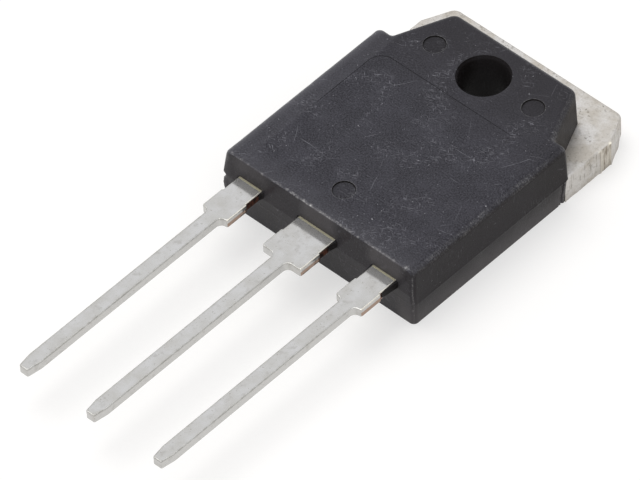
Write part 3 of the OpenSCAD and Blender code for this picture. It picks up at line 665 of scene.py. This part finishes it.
lead_edge_r = 0.06         # the upper edges are rounded a little by the punch
lead_levels = [(0, 0.03), (0.01, 0.01), *[(z, 0) for z in (0.04, 0.12, 0.2, 0.28, 0.36, 0.44, 0.5)],
               *[(lead_thickness - lead_edge_r * (1 - math.sin(a)), lead_edge_r * (1 - math.cos(a)))
                 for a in np.radians([0, 22, 45, 68, 90])],
               (lead_thickness, 0.09), (lead_thickness, 0.13)]
tinned = []
for name, node, x, root_half, inner, bend in (
        ("base_lead_strip", "base_lead", -lead_pitch, outer_half, outer_inner, None),
        ("middle_lead_strip", "collector_lead", 0, middle_half, middle_inner, bent),
        ("emitter_lead_strip", "emitter_lead", lead_pitch, outer_half, outer_inner, None)):
    rings = np.array([np.column_stack([flat, np.full(len(flat), lead_low + z)])
                      for z, inset in lead_levels for flat in [lead_outline(root_half, inner, inset)]])
    facing = unit(outward(rings) * [1, 1, 0] + [0, 1e-9, 0])
    height = rings[..., 2] - lead_low
    inset_of = np.array([inset for z, inset in lead_levels])[:, None]
    on_side = (height > 0.02) & (height < lead_thickness - 0.02)
    marks = rings * [1, 1, 0.1] + [x, 0, 0]
    depth = (0.02 * grain(marks, 0.14, 11) + 0.012 * grain(rings + [x, 0, 0], 0.3, 12)) * on_side
    rings = rings - facing * depth[..., None]
    across, along = rings[..., 0], rings[..., 1]
    sideways = facing[..., 0] ** 2 > 0.5
    side = (np.abs(across) > root_half - 0.06) * on_side
    # The bar was sheared off through the lower part of the stub, and the side behind it is bare up to the
    # rounded edge
    cut = side * (along > root_y + 0.06) * (along < stub_y + 0.03) * np.clip((0.36 - height) / 0.08, 0, 1)
    bare = side * (along >= stub_y + 0.03) * np.clip((0.545 - height) / 0.05, 0, 1)
    # The upper edge is made matt and painted darker all round: partly dull wear, partly a painted reflection
    # of dark surroundings. Along the sides of the wide part it gets a painted glint instead, stronger on the
    # right-hand side
    rim = np.exp(-((height - lead_thickness + 0.02) / 0.05) ** 2) * (inset_of < 0.1)
    rim = rim * np.where((along < root_y - 0.3) | (facing[..., 1] < -0.5), 1, 0.35)
    painted_glint = np.exp(-((height - lead_thickness + 0.025) / 0.04) ** 2) * (inset_of < 0.07) * sideways
    painted_glint = painted_glint * (np.abs(across) > root_half - 0.12) * np.where(across > 0, 0.7, 0.15)
    rings = rings + [x, 0, 0]
    painted_glint = painted_glint * (0.5 + 0.5 * grain(rings, 0.4, 17))
    sheets = [closed(rings), plate([rings[-1]], 0.3), plate([rings[0]], 0.3)]
    if bend:
        sheets = [bend(sheet) if isinstance(sheet, np.ndarray) else (bend(sheet[0]), sheet[1])
                  for sheet in sheets]
    # Marks the side faces, which are painted a little paler: painted light
    side_mark = np.clip((lead_thickness - 0.05 - height) / 0.03, 0, 1) * sideways
    lead = make_piece(name, sheets, {"cut": [closed(cut)], "bare": [closed(bare)], "painted_glint": [closed(painted_glint)],
                                     "rim": [closed(rim * (1 - painted_glint))], "side": [closed(side_mark)]})
    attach(lead, "root")
    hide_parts(node)
    tinned.append(lead)

# Tin over copper: nearly white, smooth enough to mirror the case's wall sharply under a thin matt film of
# oxide, with faint rolling lines along the strip, small pits and smudges. The sides that were cut after
# tinning show brown or red copper.
tin = empty_material("tin_plate_on_copper")
place = add(tin, "TexCoord", {}, "Object")
cloud = add(tin, "TexNoise", {"Vector": place, "Scale": 1 / (1.1 * mm), "Detail": 3.0, "Roughness": 0.6})
drawn = add(tin, "Mapping", {"Vector": place, "Scale": (1, 0.05, 1)})
rolling = add(tin, "TexNoise", {"Vector": drawn, "Scale": 1 / (0.09 * mm), "Detail": 2.0})
pits = add(tin, "TexNoise", {"Vector": place, "Scale": 1 / (0.14 * mm), "Detail": 1.0})
pits = add(tin, "MapRange", {0: pits, 1: 0.7, 2: 0.78, 3: 0.0, 4: 0.55})
dab = add(tin, "TexNoise", {"Vector": place, "W": 1.0, "Scale": 1 / (0.45 * mm), "Detail": 4.0},
          noise_dimensions="4D")
dab = add(tin, "MapRange", {0: dab, 1: 0.58, 2: 0.7, 3: 0.0, 4: 0.35})
smudge = add(tin, "MapRange", {0: cloud, 1: 0.35, 2: 0.7})
cut_side = add(tin, "Attribute", {}, "Fac", attribute_name="cut")
bare_side = add(tin, "Attribute", {}, "Fac", attribute_name="bare")
rim = add(tin, "Attribute", {}, "Fac", attribute_name="rim")
worn = add(tin, "TexNoise", {"Vector": place, "Scale": 1 / (0.3 * mm), "Detail": 3.0})
worn = add(tin, "MapRange", {0: worn, 1: 0.38, 2: 0.62, 3: 0.3, 4: 0.7})
rim = add(tin, "Math", {0: rim, 1: worn}, operation="MULTIPLY")
side_face = add(tin, "Attribute", {}, "Fac", attribute_name="side")
painted_glint = add(tin, "Attribute", {}, "Fac", attribute_name="painted_glint")
torn = add(tin, "TexNoise", {"Vector": place, "Scale": 1 / (0.25 * mm), "Detail": 2.0})
torn = add(tin, "MapRange", {0: torn, 1: 0.45, 2: 0.6})
copper = add(tin, "Mix", {0: torn, 6: paint("#9f6852"), 7: paint("#4d3a32")}, 2, data_type="RGBA")
metal = add(tin, "Mix", {0: smudge, 6: paint("#cdccca"), 7: paint("#bfbdb8")}, 2, data_type="RGBA")
# Where the mould's edge pinched the strip, right at the wall, the tin is burnished to a pale olive line
pinch = add(tin, "SeparateXYZ", {0: place}, "Y")
pinch = add(tin, "MapRange", {0: pinch, 1: (wall_y - 0.11) * mm, 2: (wall_y - 0.07) * mm, 3: 0.0, 4: 0.8})
metal = add(tin, "Mix", {0: pinch, 6: metal, 7: paint("#d3cca9")}, 2, data_type="RGBA")
# Among these tones the side faces' paler one is painted light, the rim's darker one is partly dull tin and
# partly a painted reflection of dark surroundings, and the near-white one is a painted glint
for amount, tone in ((side_face, paint("#cdccc9")), (dab, paint("#a19e98")), (pits, paint("#8d887e")),
                     (rim, paint("#828079")), (cut_side, paint("#a58c7b")), (bare_side, copper),
                     (painted_glint, paint("#fff8e6"))):
    metal = add(tin, "Mix", {0: amount, 6: metal, 7: tone}, 2, data_type="RGBA")
height = add(tin, "Math", {0: cloud, 1: 3.0, 2: rolling}, operation="MULTIPLY_ADD")
skin = add(tin, "Bump", {"Height": height, "Distance": 0.001 * mm, "Strength": 1.0})
gloss = add(tin, "MapRange", {0: cloud, 1: 0.3, 2: 0.7, 3: 0.1, 4: 0.16})
matt = add(tin, "Math", {0: pinch, 1: 0.6}, operation="MULTIPLY")
matt = add(tin, "Math", {0: matt, 1: rim}, operation="MAXIMUM")
matt = add(tin, "Math", {0: matt, 1: painted_glint}, operation="MAXIMUM")
gloss = add(tin, "Math", {0: matt, 1: 0.5, 2: gloss}, operation="MULTIPLY_ADD")
shader = add(tin, "BsdfPrincipled", {"Base Color": metal, "Metallic": 0.75, "Roughness": gloss,
                                     "Normal": skin})
add(tin, "OutputMaterial", {"Surface": shader})
for lead in tinned:
    lead.data.materials.append(tin)

# INSIDE THE CASE
# The silicon chip lies on solder on the flange, and aluminium wires join it to the outer leads. The
# moulding seals them in, so they stay as the frame has them, each with the finish that it has before it.
for name, nodes, size, one, other, metallic, gloss in (
        ("polished_silicon", ["silicon_chip"], 0.8, "#4b5058", "#5d636b", 0.0, 0.15),
        ("dull_solder", ["die_solder"], 0.3, "#8f8f8d", "#a9a9a6", 1.0, 0.5),
        ("drawn_aluminium_wire", ["base_wire", "emitter_wire_1", "emitter_wire_2"],
         0.1, "#d8d9db", "#c6c8ca", 1.0, 0.3)):
    finish = empty_material(name)
    place = add(finish, "TexCoord", {}, "Object")
    cloud = add(finish, "TexNoise", {"Vector": place, "Scale": 1 / (size * mm)})
    tint = add(finish, "Mix", {0: cloud, 6: paint(one), 7: paint(other)}, 2, data_type="RGBA")
    shader = add(finish, "BsdfPrincipled", {"Base Color": tint, "Metallic": metallic, "Roughness": gloss})
    add(finish, "OutputMaterial", {"Surface": shader})
    for node in nodes:
        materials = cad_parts[node].data.materials
        materials.clear()
        materials.append(finish)

# THE TABLE, THE LIGHT AND THE CAMERA
# A pale table under a soft sky, brightest overhead, with one large soft lamp. Where the camera or a mirror
# sees them, table and sky are lifted to white, and the table keeps the transistor's shadow.
bpy.ops.mesh.primitive_plane_add(size=3)
table = bpy.context.object
table.name = "table"
white = empty_material("white_table")
path = add(white, "LightPath", {}, "Is Camera Ray")
rays = path.node
seen = add(white, "Math", {0: path, 1: rays.outputs["Is Glossy Ray"]}, operation="MAXIMUM")
seen = add(white, "Math", {0: seen, 1: rays.outputs["Is Transmission Ray"]}, operation="MAXIMUM")
glow = add(white, "Math", {0: seen, 1: 0.55}, operation="MULTIPLY")
shader = add(white, "BsdfPrincipled", {"Base Color": paint("#b8b6b3"), "Roughness": 0.9,
                                       "Specular IOR Level": 0.0, "Emission Color": paint("#ffffff"),
                                       "Emission Strength": glow})
add(white, "OutputMaterial", {"Surface": shader})
table.data.materials.append(white)

sky = bpy.data.worlds.new("sky")
bpy.context.scene.world = sky
sky.use_nodes = True
sky.node_tree.nodes.clear()
way = add(sky, "TexCoord", {}, "Generated")
upward = add(sky, "SeparateXYZ", {0: way}, "Z")
level = add(sky, "MapRange", {0: upward, 1: 0.0, 2: 0.9, 3: 0.27, 4: 0.97})
path = add(sky, "LightPath", {}, "Is Camera Ray")
rays = path.node
seen = add(sky, "Math", {0: path, 1: rays.outputs["Is Glossy Ray"]}, operation="MAXIMUM")
seen = add(sky, "Math", {0: seen, 1: rays.outputs["Is Transmission Ray"]}, operation="MAXIMUM")
level = add(sky, "Math", {0: level, 1: seen}, operation="MAXIMUM")
light = add(sky, "Background", {"Color": paint("#fbfcff"), "Strength": level})
add(sky, "OutputWorld", {"Surface": light})

lamp = bpy.data.lights.new("softbox", "AREA")
lamp.size, lamp.energy = 0.3, 0.7
softbox = bpy.data.objects.new("softbox", lamp)
softbox.location = (-0.16, -0.02, 0.42)
bpy.context.scene.collection.objects.link(softbox)
softbox.rotation_euler = (-softbox.location).to_track_quat("-Z", "Y").to_euler()

# The camera stands where the edges of the photograph place it: its direction is turned by azimuth and
# elevation about the target, and its picture by a small roll.
azimuth, elevation, roll_angle = (math.radians(a) for a in (45.92, 47.506, -3.708))
target, distance, focal_pixels = np.array([-0.148, -14.398, 2.0]) * mm, 0.55905, 9390.3
level_part = math.cos(elevation)
back = np.array([math.sin(azimuth) * level_part, -math.cos(azimuth) * level_part, math.sin(elevation)])
right = unit(np.cross(-back, [0, 0, 1]))
up = np.cross(right, -back)
right, up = (math.cos(roll_angle) * right + math.sin(roll_angle) * up,
             math.cos(roll_angle) * up - math.sin(roll_angle) * right)
camera = bpy.data.objects.new("camera", bpy.data.cameras.new("camera"))
film_width, picture_width = 36, 640        # millimetres and pixels
camera.data.sensor_width = film_width
camera.data.lens = focal_pixels * film_width / picture_width
frame_matrix = np.eye(4)
frame_matrix[:3, :3] = np.column_stack([right, up, back])
frame_matrix[:3, 3] = target + back * distance
camera.matrix_world = Matrix(frame_matrix.tolist())
bpy.context.scene.collection.objects.link(camera)
bpy.context.scene.camera = camera
bpy.context.scene.view_settings.view_transform = "Standard"
